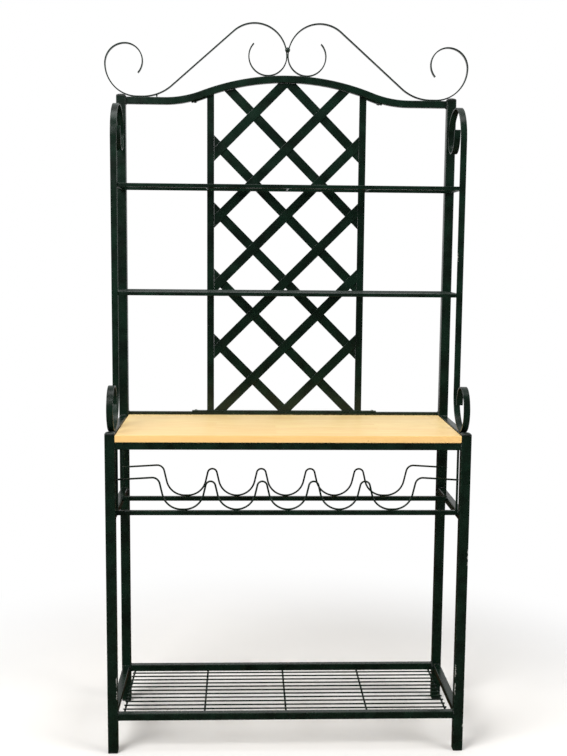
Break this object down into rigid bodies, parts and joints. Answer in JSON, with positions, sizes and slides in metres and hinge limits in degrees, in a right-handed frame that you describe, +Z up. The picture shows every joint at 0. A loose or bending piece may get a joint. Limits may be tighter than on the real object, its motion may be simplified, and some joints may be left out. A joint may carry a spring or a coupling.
{
  "type": "bakers rack",
  "caption": "Steel bakers rack with a wood worktop, wire shelves, a scalloped wine rack, a lattice back and a scrolled crown.",
  "frame": {"origin": "on the floor under the middle of the footprint", "axes": "+Z up, front towards -Y, +X to the right seen from the front"},
  "size_m": [0.9812, 0.356, 1.8936],
  "materials": {
    "paint": "gloss powder coat, very dark green",
    "plastic": "satin gloss, black-green",
    "board": "clear satin varnish on light laminated hardwood",
    "screw": "dull zinc plate"
  },
  "bodies": {
    "root": {"front_left_leg": "paint", "front_right_leg": "paint", "back_left_leg": "paint", "back_right_leg": "paint", "left_post": "paint", "right_post": "paint", "left_post_spigot": "paint", "right_post_spigot": "paint", "front_left_leg_cap": "plastic", "front_right_leg_cap": "plastic", "left_post_cap": "plastic", "right_post_cap": "plastic", "front_left_glide": "plastic", "front_right_glide": "plastic", "back_left_glide": "plastic", "back_right_glide": "plastic", "worktop_front_rail": "paint", "worktop_back_rail": "paint", "worktop_left_rail": "paint", "worktop_right_rail": "paint", "shelf_front_rail": "paint", "shelf_back_rail": "paint", "shelf_left_rail": "paint", "shelf_right_rail": "paint", "worktop_board": "board", "worktop_screw_1": "screw", "worktop_screw_2": "screw", "worktop_screw_3": "screw", "worktop_screw_4": "screw", "bottom_shelf_grid": "paint", "wine_left_rail": "paint", "wine_right_rail": "paint", "wine_front_bar": "paint", "wine_back_bar": "paint", "wine_front_left_hanger": "paint", "wine_front_right_hanger": "paint", "wine_back_left_hanger": "paint", "wine_back_right_hanger": "paint", "wine_front_wire": "paint", "wine_back_wire": "paint", "arched_top_rail": "paint", "back_foot_rail": "paint", "lattice_bottom_strip": "paint", "lattice_left_upright": "paint", "lattice_right_upright": "paint", "lattice_flats": "paint", "lattice_upper_left_screw": "screw", "lattice_upper_right_screw": "screw", "lattice_lower_left_screw": "screw", "lattice_lower_right_screw": "screw", "left_scroll": "paint", "right_scroll": "paint", "upper_shelf_frame": "paint", "upper_shelf_grid": "paint", "middle_shelf_frame": "paint", "middle_shelf_grid": "paint", "crown_left_bar": "paint", "crown_right_bar": "paint", "crown_knot": "paint"}
  },
  "joints": []
}
